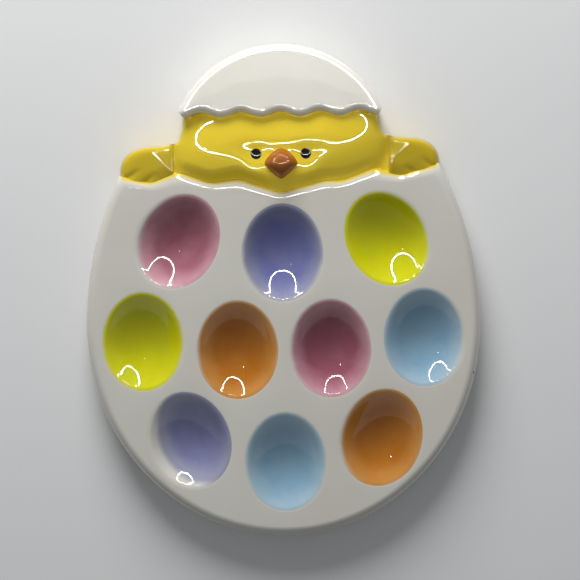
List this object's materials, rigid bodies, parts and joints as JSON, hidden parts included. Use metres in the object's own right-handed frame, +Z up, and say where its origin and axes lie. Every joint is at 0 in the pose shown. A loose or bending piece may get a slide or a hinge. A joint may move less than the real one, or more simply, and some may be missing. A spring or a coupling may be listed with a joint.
{
  "type": "deviled egg platter",
  "caption": "Egg-shaped glazed ceramic deviled egg platter with coloured egg wells, a yellow chick looking over the cracked shell, and a white shell cap.",
  "frame": {"origin": "middle of the platter's outline, on the surface that it stands on", "axes": "+Z up out of the wells, +Y towards the shell cap, +X to the chick's left as it looks out"},
  "size_m": [0.256, 0.318, 0.0375],
  "materials": {
    "white_glaze": "clear gloss glaze",
    "bare_clay": "dry, unglazed",
    "yellow_glaze": "clear gloss glaze",
    "rust_glaze": "clear gloss glaze",
    "black_glaze": "clear gloss glaze",
    "pink_glaze": "clear gloss glaze",
    "lilac_glaze": "clear gloss glaze",
    "lime_glaze": "clear gloss glaze",
    "orange_glaze": "clear gloss glaze",
    "blue_glaze": "clear gloss glaze"
  },
  "bodies": {
    "root": {"shell_plate": "white_glaze", "foot_rim": "bare_clay", "chick_head": "yellow_glaze", "left_wing": "yellow_glaze", "right_wing": "yellow_glaze", "shell_cap": "white_glaze", "beak": "rust_glaze", "left_eye": "black_glaze", "right_eye": "black_glaze", "pink_glaze_top_left": "pink_glaze", "lilac_glaze_top": "lilac_glaze", "lime_glaze_top_right": "lime_glaze", "lime_glaze_left": "lime_glaze", "orange_glaze_left": "orange_glaze", "pink_glaze_right": "pink_glaze", "blue_glaze_right": "blue_glaze", "lilac_glaze_bottom_left": "lilac_glaze", "blue_glaze_bottom": "blue_glaze", "orange_glaze_bottom_right": "orange_glaze"}
  },
  "joints": []
}
